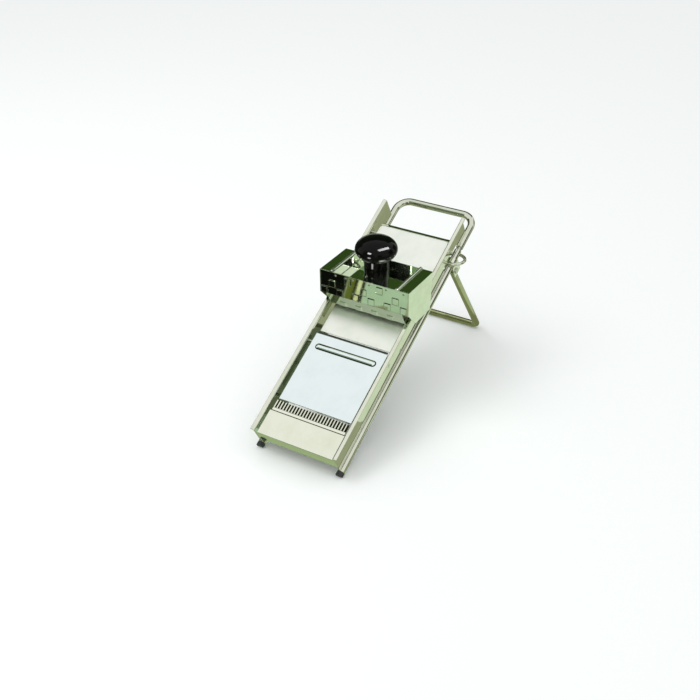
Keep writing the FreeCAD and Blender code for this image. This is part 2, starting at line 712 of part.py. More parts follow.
# Leg hinge: a clip saddled over the tube, its pivot pin and a ring round the tube
def leg_clip(side, sign):
    """A saddle over the tube with two ears, and a bar between them that stops the open leg."""
    name = f"{side}_leg_clip"
    middle = f"{sign}*tube_offset"
    seat = (middle, "pivot_place - ear_before", "-tube_drop")
    saddle = rod(f"{name}_saddle", "tube_radius + clip_wall", "saddle_length",
                 (middle, "pivot_place + saddle_start", "-tube_drop"), "y")
    ears = block(f"{name}_ears", ("2*(tube_radius + clip_wall)", EAR_LENGTH, "ear_depth"),
                 (f"{middle} - tube_radius - clip_wall", "pivot_place - ear_before",
                  "-tube_drop - ear_depth"))
    bore = rod(f"{name}_bore", "tube_radius", EAR_LENGTH, seat, "y")
    slot = block(f"{name}_slot", ("2*tube_radius", EAR_LENGTH, "ear_depth"),
                 (f"{middle} - tube_radius", "pivot_place - ear_before", "-tube_drop - ear_depth"))
    pin_start = (f"{middle} - 2*tube_radius", "pivot_place", f"-{PIVOT_DROP}")
    drill = rod(f"{name}_drill", "pivot_radius", "4*tube_radius", pin_start)
    ear_pair = carved(f"{name}_fork", joined(f"{name}_blank", [saddle, ears]), bore, slot, drill)
    beside = "(leg_radius + stop_radius + running_gap)"
    stop = rod(f"{name}_stop", "stop_radius", "2*(tube_radius + clip_wall)",
               (f"{middle} - tube_radius - clip_wall",
                f"pivot_place + stop_down*sin({LEG_LEAN}) + {beside}*cos({LEG_LEAN})",
                f"-{PIVOT_DROP} - stop_down*cos({LEG_LEAN}) + {beside}*sin({LEG_LEAN})"))
    on_bed(joined(name, [ear_pair, stop]))
    ring = doc.addObject("Part::Torus", f"{side}_ring_wire")
    bind(ring, Radius1="(tube_radius + ring_wire + running_gap)/sin(bed_tilt)", Radius2="ring_wire")
    tilt(ring, "-bed_tilt")
    move(ring, (middle, "pivot_place + ring_shift", "-tube_drop"))
    on_bed(grouped(f"{side}_stop_ring", [ring]))


for side, sign in SIDES.items():
    leg_clip(side, sign)
pins = []
for side, sign in SIDES.items():
    middle = f"{sign}*tube_offset"
    reach = "(tube_radius + clip_wall)"
    stem = rod(f"{side}_pin_stem", "pivot_radius", f"2*{reach}",
               (f"{middle} - {reach}", "pivot_place", f"-{PIVOT_DROP}"))
    low = rod(f"{side}_pin_inner_head", "pin_head_radius", "pin_head",
              (f"{middle} - {reach} - pin_head", "pivot_place", f"-{PIVOT_DROP}"))
    high = rod(f"{side}_pin_outer_head", "pin_head_radius", "pin_head",
               (f"{middle} + {reach}", "pivot_place", f"-{PIVOT_DROP}"))
    pins.append(joined(f"{side}_pivot_pin", [stem, low, high]))
on_bed(grouped("leg_pivot_pins", pins))


# Folding leg: a U of tube with a hinge eye plugged into each end
LEG_LOW = f"(leg_bend - {LEG_LENGTH})"
leg_pieces = [pipe("leg_foot", "leg_radius", "leg_wall", "2*(tube_offset - leg_bend)",
                   ("leg_bend - tube_offset", "0", f"-{LEG_LENGTH}"))]
for side, sign in SIDES.items():
    leg_pieces.append(pipe(f"leg_{side}_arm", "leg_radius", "leg_wall", f"-{LEG_LOW} - eye_length",
                           (f"{sign}*tube_offset", "0", LEG_LOW), "z"))
    down = FreeCAD.Rotation(Y_AXIS, 0 if side == "right" else 90).multiply(FreeCAD.Rotation(X_AXIS, -90))
    leg_pieces.append(elbow(f"leg_{side}_bend", "leg_radius", "leg_wall", "leg_bend",
                            (f"{sign}*(tube_offset - leg_bend)", "0", LEG_LOW), down))
on_leg(joined("leg_tube", leg_pieces))


def leg_eye(side, sign):
    """A hinge eye with a shoulder and a spigot for the leg tube."""
    name = f"{side}_leg_eye"
    middle = f"{sign}*tube_offset"
    knuckle = rod(f"{name}_knuckle", "eye_radius", "eye_width", (f"{middle} - eye_width/2", "0", "0"))
    neck = rod(f"{name}_neck", "leg_radius", "eye_length", (middle, "0", "-eye_length"), "z")
    fit = "leg_radius - leg_wall - running_gap"
    spigot = rod(f"{name}_spigot", fit, "eye_spigot", (middle, "0", "-eye_length - eye_spigot"), "z")
    drill = rod(f"{name}_drill", "pivot_radius + running_gap", "2*eye_width",
                (f"{middle} - eye_width", "0", "0"))
    on_leg(carved(name, joined(f"{name}_blank", [knuckle, neck, spigot]), drill))


for side, sign in SIDES.items():
    leg_eye(side, sign)

# Carriage: a level box over the inclined rails
INNER_FOLD_Z = "(sheet_wall*sin(bed_tilt) + (front_fold - sheet_wall*tan(bed_tilt/2))*cos(bed_tilt))"
panel = [
    ("0", "0"),
    ("sheet_wall*cos(bed_tilt)", "sheet_wall*sin(bed_tilt)"),
    (f"{FOLD_Y} + sheet_wall", INNER_FOLD_Z),
    (FOLD_Y, FOLD_Z),
]
upper = [
    (FOLD_Y, FOLD_Z),
    (f"{FOLD_Y} + sheet_wall", INNER_FOLD_Z),
    (f"{FOLD_Y} + sheet_wall", TOP_Z),
    (FOLD_Y, TOP_Z),
]
front = doc.addObject("PartDesign::Body", "front_sheet")
pad(front, "front_upper", "YZ", upper, f"-{SIDE_IN}", f"2*{SIDE_IN}")
pad(front, "front_lower", "YZ", panel, f"-{PANEL}", f"2*{PANEL}")


def claw(name, column, middle, level):
    """A square tongue that stands proud of the front, and the slits round it.

    The slits are above, below and on the side nearest to the middle of the row.
    """
    across = f"(({column} - {middle})*claw_pitch)"
    low = f"({TOP_Z} - {level} - claw_size/2)"
    through = "claw_reach + 2*sheet_wall"
    tongue = block(name, ("claw_size", "claw_reach", "claw_size"),
                   (f"{across} - claw_size/2", f"{FOLD_Y} - claw_reach", low))
    cuts = []
    for end, height in (("above", f"{low} + claw_size"), ("below", f"{low} - claw_slit")):
        cuts.append(block(f"{name}_{end}", ("claw_size", through, "claw_slit"),
                          (f"{across} - claw_size/2", f"{FOLD_Y} - claw_reach", height)))
    if column != middle:
        corner = "claw_size/2" if column < middle else "-claw_size/2 - claw_slit"
        cuts.append(block(f"{name}_beside", ("claw_slit", through, "claw_size + 2*claw_slit"),
                          (f"{across} + {corner}", f"{FOLD_Y} - claw_reach", f"{low} - claw_slit")))
    return tongue, cuts


claws = [front]
slits = []
for row, levels in (("high", ("claw_middle", "claw_high")), ("low", ("claw_low",))):
    row_count = int(size(f"{row}_claw_count"))
    for index in range(row_count):
        tongue, cuts = claw(f"claw_{row}_{index}", index, (row_count - 1) / 2, levels[index % len(levels)])
        claws.append(tongue)
        slits += cuts
for index in range(int(size("foot_claw_count"))):
    across = f"({index} - (foot_claw_count - 1)/2)*claw_pitch - claw_size/2"
    foot = block(f"claw_foot_{index}", ("claw_size", "claw_reach", "claw_size"), ("0", "0", "0"))
    tilt(foot, "bed_tilt")
    move(foot, (across, "-claw_reach*cos(bed_tilt) - claw_foot*sin(bed_tilt)",
                "claw_foot*cos(bed_tilt) - claw_reach*sin(bed_tilt)"))
    claws.append(foot)
on_carriage(carved("carriage_front_plate", joined("front_blank", claws), *slits))


def carriage_side(side):
    """A side plate outside the rail and the level wing that joins it to the well."""
    name = f"carriage_{side}_side"
    outline = [
        (FOLD_Y, TOP_Z),
        (BACK_Y, TOP_Z),
        (f"{BACK_Y} - side_lean", f"{TOP_Z} - side_depth"),
        (f"{FOLD_Y} + side_notch", f"{TOP_Z} - side_depth"),
        (FOLD_Y, FOLD_Z),
    ]
    wing = [
        (f"{FOLD_Y} + sheet_wall", f"{TOP_Z} - sheet_wall"),
        (BACK_Y, f"{TOP_Z} - sheet_wall"),
        (BACK_Y, TOP_Z),
        (f"{FOLD_Y} + sheet_wall", TOP_Z),
    ]
    body = doc.addObject("PartDesign::Body", name)
    pad(body, f"{name}_plate", "YZ", outline, start_of(side, SIDE_IN, "carriage_width/2"), "sheet_wall")
    pad(body, f"{name}_wing", "YZ", wing, start_of(side, WELL_OUT, SIDE_IN), f"{SIDE_IN} - {WELL_OUT}")
    on_carriage(body)


for side in SIDES:
    carriage_side(side)

# Well: three walls open to the food. Each side wall has a round rim on the wing and a ledge for the pusher
wall_outline = [
    ("sheet_wall*cos(bed_tilt)", "sheet_wall*sin(bed_tilt)"),
    (BACK_Y, f"{BACK_Y}*tan(bed_tilt)"),
    (BACK_Y, TOP_Z),
    (f"{FOLD_Y} + sheet_wall", TOP_Z),
    (f"{FOLD_Y} + sheet_wall", INNER_FOLD_Z),
]
back_outline = [
    (f"{BACK_Y} - sheet_wall", f"({BACK_Y} - sheet_wall)*tan(bed_tilt)"),
    (BACK_Y, f"{BACK_Y}*tan(bed_tilt)"),
    (BACK_Y, TOP_Z),
    (f"{BACK_Y} - sheet_wall", TOP_Z),
]
well = doc.addObject("PartDesign::Body", "well_sheet")
pad(well, "well_back", "YZ", back_outline, f"-{WELL_OUT}", f"2*{WELL_OUT}")
pad(well, "well_left", "YZ", wall_outline, f"-{WELL_OUT}", "sheet_wall")
pad(well, "well_right", "YZ", wall_outline, WELL, "sheet_wall")
well_pieces = [well]
for side, sign in SIDES.items():
    ledge = block(f"well_{side}_ledge", ("ledge_width", "glide_length", "sheet_wall"),
                  (start_of(side, f"({WELL} - ledge_width)", WELL), f"{FOLD_Y} + glide_start",
                   f"{PUSHER_LOW} - running_gap - sheet_wall"))
    roll = rod(f"well_{side}_roll", "rim_width/2", "carriage_depth",
               (f"{sign}*({WELL} + rim_width/2)", FOLD_Y, TOP_Z), "y")
    under = block(f"well_{side}_under", ("2*rim_width", "carriage_depth", "rim_width"),
                  (f"{sign}*({WELL} + rim_width/2) - rim_width", FOLD_Y, f"{TOP_Z} - rim_width"))
    well_pieces += [ledge, carved(f"well_{side}_rim", roll, under)]
on_carriage(joined("carriage_well", well_pieces))


def glide(side):
    """A strip that carries the carriage on the rail's top flange."""
    corner = start_of(side, WELL_OUT, SIDE_IN)
    strip = block(f"{side}_glide_strip", (f"{SIDE_IN} - {WELL_OUT}", "glide_length", "sheet_wall"),
                  (corner, "carriage_place + glide_start", "rail_rise + glide_gap"))
    on_bed(grouped(f"carriage_{side}_glide", [strip]))


for side in SIDES:
    glide(side)

# Pusher: a level plate that moves straight up and down in the well, with spikes below and a knob above
pusher_front = f"({FOLD_Y} + sheet_wall + slide_gap)"
pusher_length = "(carriage_depth - 2*sheet_wall - 2*slide_gap)"
pusher_sheet = block("pusher_sheet", ("well_width - 2*slide_gap", pusher_length, "pusher_wall"),
                     ("slide_gap - well_width/2", pusher_front, PUSHER_LOW))
plate_hole = rod("pusher_hole", "screw_radius", "3*pusher_wall",
                 ("0", KNOB_Y, f"{PUSHER_LOW} - pusher_wall"), "z")
on_carriage(carved("pusher_plate", pusher_sheet, plate_hole))

spikes = []
for column in range(4):
    for line in range(3):
        spike = doc.addObject("Part::Cone", f"spike_{column}_{line}")
        bind(spike, Radius1="spike_radius/4", Radius2="spike_radius", Height="spike_length")
        move(spike, (f"({column} - 1.5)*well_width/5", f"{pusher_front} + {pusher_length}*({line} + 1)/4",
                     f"{PUSHER_LOW} - spike_length"))
        spikes.append(spike)
on_carriage(grouped("pusher_spikes", spikes))

knob_middle = f"({TOP_Z} + knob_lift)"
groove_low = f"({TOP_Z} + groove_lift)"
foot = rod("knob_foot", "stem_radius", f"{groove_low} - {PUSHER_TOP}", ("0", KNOB_Y, PUSHER_TOP), "z")
neck = rod("knob_neck", "stem_radius - groove_depth", f"{knob_middle} - {PUSHER_TOP}",
           ("0", KNOB_Y, PUSHER_TOP), "z")
stem = rod("knob_stem", "stem_radius", f"{knob_middle} - {groove_low} - groove_width",
           ("0", KNOB_Y, f"{groove_low} + groove_width"), "z")
head = doc.addObject("Part::Ellipsoid", "knob_head")
bind(head, Radius1="knob_height/2", Radius2="knob_radius", Radius3="knob_radius")
move(head, ("0", KNOB_Y, knob_middle))
screw_bore = rod("knob_bore", "screw_radius", "screw_depth", ("0", KNOB_Y, PUSHER_TOP), "z")
on_carriage(carved("pusher_knob", joined("knob_blank", [foot, neck, stem, head]), screw_bore))

screw_stem = rod("screw_stem", "screw_radius", "pusher_wall + screw_depth", ("0", KNOB_Y, PUSHER_LOW), "z")
screw_cap = rod("screw_cap", "screw_head_radius", "screw_head",
                ("0", KNOB_Y, f"{PUSHER_LOW} - screw_head"), "z")
on_carriage(joined("knob_screw", [screw_stem, screw_cap]))

doc.recompute()

failed = [item.Name for item in doc.Objects if {"Invalid", "Error"} & set(item.State)]
if failed:
    raise RuntimeError("failed objects: " + ", ".join(failed))
os.makedirs("parts", exist_ok=True)
for item in SUBPARTS:
    shape = item.Shape
    if shape.isNull() or not shape.isValid() or not shape.Solids:
        raise RuntimeError("bad shape: " + item.Name)
    item.Label = item.Name
    shape.exportStep(os.path.join("parts", item.Label + ".step"))
    print(item.Label, len(shape.Solids), round(shape.Volume, 1))
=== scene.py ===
"""Looks of a steel mandoline slicer: finishes, small trim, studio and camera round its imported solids."""

import logging
import math
from abc import ABC, abstractmethod
from collections.abc import Iterable, Sequence
from dataclasses import dataclass
from enum import Enum
from typing import ClassVar

import bpy
from mathutils import Euler, Matrix, Quaternion, Vector


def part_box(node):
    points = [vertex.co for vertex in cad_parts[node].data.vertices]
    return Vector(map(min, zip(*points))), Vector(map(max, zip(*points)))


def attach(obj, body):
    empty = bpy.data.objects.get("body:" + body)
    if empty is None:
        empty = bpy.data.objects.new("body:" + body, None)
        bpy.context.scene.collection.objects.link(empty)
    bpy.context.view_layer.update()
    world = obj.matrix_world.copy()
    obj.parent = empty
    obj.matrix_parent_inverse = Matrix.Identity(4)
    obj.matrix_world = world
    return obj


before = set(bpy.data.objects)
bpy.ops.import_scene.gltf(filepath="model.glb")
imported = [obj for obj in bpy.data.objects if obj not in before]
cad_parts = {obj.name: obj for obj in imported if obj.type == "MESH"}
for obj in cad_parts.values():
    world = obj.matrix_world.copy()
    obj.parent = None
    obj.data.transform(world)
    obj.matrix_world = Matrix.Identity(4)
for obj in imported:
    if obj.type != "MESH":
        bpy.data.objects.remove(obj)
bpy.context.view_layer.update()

Pair = tuple[float, float]
Triple = tuple[float, float, float]

LOG = logging.getLogger("slicer")
MM = 0.001
BED_TILT = math.radians(27.7)
BED_ORIGIN = Vector((0.0, -207.24, 29.716))
SHARP_ANGLE = math.radians(40.0)
UP = Vector((0.0, 0.0, 1.0))


class Body(Enum):
    """Bodies of the part that carry trim."""

    FRAME = "frame"
    FEED_TABLE = "feed_table"
    CARRIAGE = "carriage"


class Lie(Enum):
    """How a sheet lies, which sets the way its polishing lines run."""

    LEVEL = 0.0
    BED = BED_TILT


class Side(Enum):
    """Left and right of the bed, as a sign along X."""

    LEFT = -1.0
    RIGHT = 1.0


def linear(colour: str) -> tuple[float, float, float, float]:
    """Turn an sRGB hex colour to linear RGBA.

    Args:
        colour: Six hex digits after a hash sign.

    Returns:
        Red, green, blue and an alpha of 1.
    """
    channels = [int(colour[i:i + 2], 16) / 255 for i in (1, 3, 5)]
    red, green, blue = [c / 12.92 if c <= 0.04045 else ((c + 0.055) / 1.055) ** 2.4 for c in channels]
    return red, green, blue, 1.0


def add_node(tree: bpy.types.NodeTree, kind: str, inputs: dict[str | int, object] | None = None,
             **settings: object) -> bpy.types.Node:
    """Add a node with its settings, values and links.

    Args:
        tree: The node tree that gets the node.
        kind: The node's type name.
        inputs: A value, or a socket to link from, for each named or numbered input.
        **settings: Properties set on the node before its inputs.

    Returns:
        The new node.
    """
    node = tree.nodes.new(kind)
    for key, value in settings.items():
        setattr(node, key, value)
    for key, value in (inputs or {}).items():
        if isinstance(value, bpy.types.NodeSocket):
            tree.links.new(value, node.inputs[key])
        else:
            node.inputs[key].default_value = value
    return node


def on_bed(x: float, along: float, above: float) -> Vector:
    """Give the place in metres of a point of the bed.

    Args:
        x: Millimetres across the bed.
        along: Millimetres up the bed from its low end.
        above: Millimetres square to the bed.

    Returns:
        The point in the part's frame.
    """
    cos, sin = math.cos(BED_TILT), math.sin(BED_TILT)
    point = BED_ORIGIN + Vector((x, along * cos - above * sin, along * sin + above * cos))
    return point * MM


def loft(name: str, rings: Sequence[Sequence[Vector]]) -> bpy.types.Mesh:
    """Skin a row of closed rings and cap both ends.

    Args:
        name: The mesh's name.
        rings: Rings of points with the same count each.

    Returns:
        The skinned mesh, smooth shaded between its sharp edges.
    """
    count = len(rings[0])
    points = [point for ring in rings for point in ring]
    faces: list[tuple[int, ...]] = []
    for row in range(len(rings) - 1):
        low, high = row * count, (row + 1) * count
        for i in range(count):
            j = (i + 1) % count
            faces.append((low + i, low + j, high + j, high + i))
    faces.append(tuple(reversed(range(count))))
    faces.append(tuple(range(len(points) - count, len(points))))
    mesh = bpy.data.meshes.new(name)
    mesh.from_pydata([tuple(p) for p in points], [], faces)
    mesh.validate()
    mesh.shade_smooth()
    mesh.set_sharp_from_angle(angle=SHARP_ANGLE)
    return mesh


def turned(name: str, profile: Iterable[Pair], place: Matrix, count: int) -> bpy.types.Mesh:
    """Turn a profile about an axis.

    Args:
        name: The mesh's name.
        profile: Radius and height of each ring, in millimetres.
        place: Takes the turning axis, Z, to its place in metres.
        count: Points round a ring.

    Returns:
        The turned mesh.
    """
    angles = [2 * math.pi * i / count for i in range(count)]
    rings = []
    for radius, height in profile:
        rings.append([place @ (Vector((radius * math.cos(a), radius * math.sin(a), height)) * MM)
                      for a in angles])
    return loft(name, rings)


def aimed(way: Vector, axis: str, turn: float = 0.0) -> Euler:
    """Give the rotation that points an object's axis a way, after a turn about its own Z in degrees."""
    spin = Quaternion(UP, math.radians(turn))
    return (way.to_track_quat(axis, "Y") @ spin).to_euler()


class Finish(ABC):
    """A finish that is made once and shared by the pieces that wear it."""

    _made: ClassVar[dict[str, bpy.types.Material]] = {}
    name: str

    def material(self) -> bpy.types.Material:
        """Give the finish's material, making it the first time.

        Returns:
            The material.
        """
        if self.name not in Finish._made:
            material = bpy.data.materials.new(self.name)
            material.use_nodes = True
            material.node_tree.nodes.clear()
            shader = self.shade(material.node_tree)
            add_node(material.node_tree, "ShaderNodeOutputMaterial", {"Surface": shader.outputs[0]})
            Finish._made[self.name] = material
        return Finish._made[self.name]

    @abstractmethod
    def shade(self, tree: bpy.types.NodeTree) -> bpy.types.Node:
        """Fill the tree and return its shader node."""


def pattern(tree: bpy.types.NodeTree, grain: Triple, turn: float = 0.0, detail: float = 2.0,
            rough: float = 0.5) -> bpy.types.NodeSocket:
    """Lay a noise pattern of a real size over a surface.

    Args:
        tree: The material's node tree.
        grain: Size of the pattern along X, Y and Z, in millimetres.
        turn: Turn of the pattern about X, in radians.
        detail: Finer layers of the noise.
        rough: How much each finer layer counts.

    Returns:
        The socket with the pattern's value, about 0.5 on average.
    """
    place = add_node(tree, "ShaderNodeTexCoord")
    fit = add_node(tree, "ShaderNodeMapping", {
        "Vector": place.outputs["Object"],
        "Rotation": (turn, 0.0, 0.0),
        "Scale": tuple(size * MM for size in grain),
    }, vector_type="TEXTURE")
    noise = add_node(tree, "ShaderNodeTexNoise", {
        "Vector": fit.outputs["Vector"], "Scale": 1.0, "Detail": detail, "Roughness": rough})
    return noise.outputs["Fac"]


def bed_place(tree: bpy.types.NodeTree) -> bpy.types.Node:
    """Give a surface point's place on the bed.

    Args:
        tree: The material's node tree.

    Returns:
        A node with X across, Y along and Z above the bed, in millimetres.
    """
    place = add_node(tree, "ShaderNodeTexCoord")
    bed = add_node(tree, "ShaderNodeMapping", {
        "Vector": place.outputs["Object"], "Location": tuple(BED_ORIGIN * MM),
        "Rotation": (BED_TILT, 0.0, 0.0), "Scale": (MM, MM, MM)}, vector_type="TEXTURE")
    return add_node(tree, "ShaderNodeSeparateXYZ", {"Vector": bed.outputs["Vector"]})


@dataclass(frozen=True)
class PolishedStainless(Finish):
    """Stainless steel, rolled and mirror polished with a mop.

    It gives the eye clear reflections, softened by faint lines along the polishing way,
    by hand marks that cloud the mirror, and by a slow waviness of the thin sheet. Folds and cut
    edges are rounded by the mop and catch a thin line of light. Wave, edge, grains and depth are
    in millimetres.
    """

    name: str
    tint: str
    shade_tint: str
    roughness: float
    cloud: float
    wave: float
    lie: Lie = Lie.LEVEL
    edge: float = 0.7
    edge_samples: int = 6
    # Mop lines are about 0.05 mm apart, too fine to show, and are drawn 0.9 mm apart
    line_grain: Triple = (0.9, 70.0, 0.9)
    line_gloss: float = 0.03
    line_strength: float = 0.35
    line_depth: float = 0.0006
    mark_grain: Triple = (24.0, 30.0, 24.0)
    mark_range: Pair = (0.42, 0.72)
    swell_grain: Triple = (45.0, 60.0, 45.0)

    def shade(self, tree: bpy.types.NodeTree) -> bpy.types.Node:
        """Mix the polishing lines, hand marks and waviness of the sheet.

        Args:
            tree: The material's node tree.

        Returns:
            The shader node.
        """
        lines = pattern(tree, self.line_grain, self.lie.value, detail=3.0)
        marks = pattern(tree, self.mark_grain, self.lie.value, detail=3.0, rough=0.6)
        swell = pattern(tree, self.swell_grain, self.lie.value, detail=0.0)
        faint, full = self.mark_range
        clouds = add_node(tree, "ShaderNodeMapRange", {"Value": marks, "From Min": faint, "From Max": full})
        mirror = add_node(tree, "ShaderNodeMath", {
            0: clouds.outputs["Result"], 1: self.cloud, 2: self.roughness}, operation="MULTIPLY_ADD")
        gloss = add_node(tree, "ShaderNodeMath", {
            0: lines, 1: self.line_gloss, 2: mirror.outputs[0]}, operation="MULTIPLY_ADD")
        tone = add_node(tree, "ShaderNodeMix", {
            "Factor": clouds.outputs["Result"], "A": linear(self.tint), "B": linear(self.shade_tint),
        }, data_type="RGBA")
        # Painted shade, on finishes that have a crease
        tone = self.paint_shade(tree, tone)
        edges = add_node(tree, "ShaderNodeBevel", {"Radius": self.edge * MM}, samples=self.edge_samples)
        fine = add_node(tree, "ShaderNodeBump", {
            "Height": lines, "Strength": self.line_strength, "Distance": self.line_depth * MM,
            "Normal": edges.outputs["Normal"]})
        bump = add_node(tree, "ShaderNodeBump", {
            "Height": swell, "Strength": 1.0, "Distance": self.wave * MM,
            "Normal": fine.outputs["Normal"]})
        return add_node(tree, "ShaderNodeBsdfPrincipled", {
            "Base Color": tone.outputs["Result"], "Metallic": 1.0,
            "Roughness": gloss.outputs[0], "Normal": bump.outputs["Normal"]})

    def paint_shade(self, tree: bpy.types.NodeTree, tone: bpy.types.Node) -> bpy.types.Node:
        """Leave the tone as it is: a plain sheet gets no painted shade."""
        return tone


@dataclass(frozen=True)
class RibbedStainless(PolishedStainless):
    """Polished stainless steel with a pressed rib.

    It gives the eye a dark line round the rib: painted shade in the crease at the rib's foot.
    Sizes are in millimetres on the bed: the rib's place, half its straight length, where the crease
    runs beside its middle, half the line's width, and how far the line fades out.
    """

    # Colour of the painted shade in the crease round the rib
    crease_shade: str = "#24271F"
    rib_place: float = 140.6
    rib_half: float = 40.9
    crease: float = 3.9
    line_half: float = 0.75
    line_fade: float = 0.2

    def paint_shade(self, tree: bpy.types.NodeTree, tone: bpy.types.Node) -> bpy.types.Node:
        """Paint the line of shade round the rib, in its crease.

        Args:
            tree: The material's node tree.
            tone: The node with the steel's colour.

        Returns:
            The node with the shaded colour.
        """
        # Painted shade: a thin dark line along the crease round the rib
        bed = bed_place(tree)
        across = add_node(tree, "ShaderNodeMath", {0: bed.outputs["X"]}, operation="ABSOLUTE")
        past = add_node(tree, "ShaderNodeMath", {
            0: across.outputs[0], 1: self.rib_half}, operation="SUBTRACT")
        end = add_node(tree, "ShaderNodeMath", {0: past.outputs[0], 1: 0.0}, operation="MAXIMUM")
        beside = add_node(tree, "ShaderNodeMath", {
            0: bed.outputs["Y"], 1: self.rib_place}, operation="SUBTRACT")
        joined = add_node(tree, "ShaderNodeCombineXYZ", {"X": end.outputs[0], "Y": beside.outputs[0]})
        reach = add_node(tree, "ShaderNodeVectorMath", {0: joined.outputs["Vector"]}, operation="LENGTH")
        offset = add_node(tree, "ShaderNodeMath", {
            0: reach.outputs["Value"], 1: self.crease}, operation="SUBTRACT")
        away = add_node(tree, "ShaderNodeMath", {0: offset.outputs[0]}, operation="ABSOLUTE")
        line = add_node(tree, "ShaderNodeMapRange", {
            "Value": away.outputs[0], "From Min": self.line_half - self.line_fade,
            "From Max": self.line_half + self.line_fade})
        return add_node(tree, "ShaderNodeMix", {
            "Factor": line.outputs["Result"], "A": linear(self.crease_shade), "B": tone.outputs["Result"],
        }, data_type="RGBA")


@dataclass(frozen=True)
class GroundBladeSteel(Finish):
    """Hardened stainless steel, finished on a grinding wheel.

    It gives the eye a bright sheen with close scratches square to the cutting edge. Below a height and
    before a start on the bed, in millimetres, it is painted dark: painted shade in the hollows of the
    waves, and a painted shadow with some residue along the end plate's edge. With neither given, there is
    none.
    """

    name: str
    tint: str
    shade_tint: str
    roughness: float
    # Colour of the painted shade in the hollows and along the end plate's edge
    painted_shade: str = "#23261D"
    shade_height: float = -99.0
    shade_start: float = 0.0
    height_fade: Pair = (-0.3, 0.1)
    start_fade: float = 0.5
    # Wheel grit leaves scratches about 0.06 mm wide, drawn 0.5 mm wide so that they show
    scratch_grain: Triple = (0.5, 14.0, 14.0)
    scratch_gloss: float = 0.06
    scratch_strength: float = 0.4
    scratch_depth: float = 0.002

    def shade(self, tree: bpy.types.NodeTree) -> bpy.types.Node:
        """Mix the grinding scratches into colour, gloss and height.

        Args:
            tree: The material's node tree.

        Returns:
            The shader node.
        """
        scratch = pattern(tree, self.scratch_grain, BED_TILT, detail=4.0, rough=0.7)
        tone = add_node(tree, "ShaderNodeMix", {
            "Factor": scratch, "A": linear(self.tint), "B": linear(self.shade_tint)}, data_type="RGBA")
        # Painted shade: dark below the set height, in the hollows of the waves, and before the set start,
        # along the end plate's edge
        bed = bed_place(tree)
        low, high = self.height_fade
        raised = add_node(tree, "ShaderNodeMapRange", {
            "Value": bed.outputs["Z"], "From Min": self.shade_height + low,
            "From Max": self.shade_height + high})
        unshaded = add_node(tree, "ShaderNodeMapRange", {
            "Value": bed.outputs["Y"], "From Min": self.shade_start,
            "From Max": self.shade_start + self.start_fade, "To Max": raised.outputs["Result"]})
        face = add_node(tree, "ShaderNodeMix", {
            "Factor": unshaded.outputs["Result"], "A": linear(self.painted_shade), "B": tone.outputs["Result"],
        }, data_type="RGBA")
        gloss = add_node(tree, "ShaderNodeMath", {
            0: scratch, 1: self.scratch_gloss, 2: self.roughness}, operation="MULTIPLY_ADD")
        bump = add_node(tree, "ShaderNodeBump", {
            "Height": scratch, "Strength": self.scratch_strength, "Distance": self.scratch_depth * MM})
        return add_node(tree, "ShaderNodeBsdfPrincipled", {
            "Base Color": face.outputs["Result"], "Metallic": 1.0,
            "Roughness": gloss.outputs[0], "Normal": bump.outputs["Normal"]})


@dataclass(frozen=True)
class DrawnRod(Finish):
    """Bright drawn steel rod and cold headed rivets.

    It gives the eye a soft shine with lines across the bed, and darker spots where oil stayed.
    """

    name: str = "stainless_rod_bright_drawn"
    tint: str = "#C2C4B8"
    shade_tint: str = "#8F9184"
    roughness: float = 0.16
    # Die lines are about 0.1 mm apart, drawn 0.6 mm apart so that they show
    line_grain: Triple = (40.0, 0.6, 0.6)
    line_gloss: float = 0.14
    line_strength: float = 0.4
    line_depth: float = 0.004
    spot_grain: Triple = (6.0, 6.0, 6.0)
    spot_range: Pair = (0.5, 0.75)
    spot_full: float = 0.7

    def shade(self, tree: bpy.types.NodeTree) -> bpy.types.Node:
        """Mix the drawing lines and the oil spots.

        Args:
            tree: The material's node tree.

        Returns:
            The shader node.
        """
        lines = pattern(tree, self.line_grain, BED_TILT)
        stains = pattern(tree, self.spot_grain, detail=4.0, rough=0.65)
        faint, full = self.spot_range
        spots = add_node(tree, "ShaderNodeMapRange", {
            "Value": stains, "From Min": faint, "From Max": full, "To Max": self.spot_full})
        tone = add_node(tree, "ShaderNodeMix", {
            "Factor": spots.outputs["Result"], "A": linear(self.tint), "B": linear(self.shade_tint),
        }, data_type="RGBA")
        gloss = add_node(tree, "ShaderNodeMath", {
            0: lines, 1: self.line_gloss, 2: self.roughness}, operation="MULTIPLY_ADD")
        bump = add_node(tree, "ShaderNodeBump", {
            "Height": lines, "Strength": self.line_strength, "Distance": self.line_depth * MM})
        return add_node(tree, "ShaderNodeBsdfPrincipled", {
            "Base Color": tone.outputs["Result"], "Metallic": 1.0,
            "Roughness": gloss.outputs[0], "Normal": bump.outputs["Normal"]})


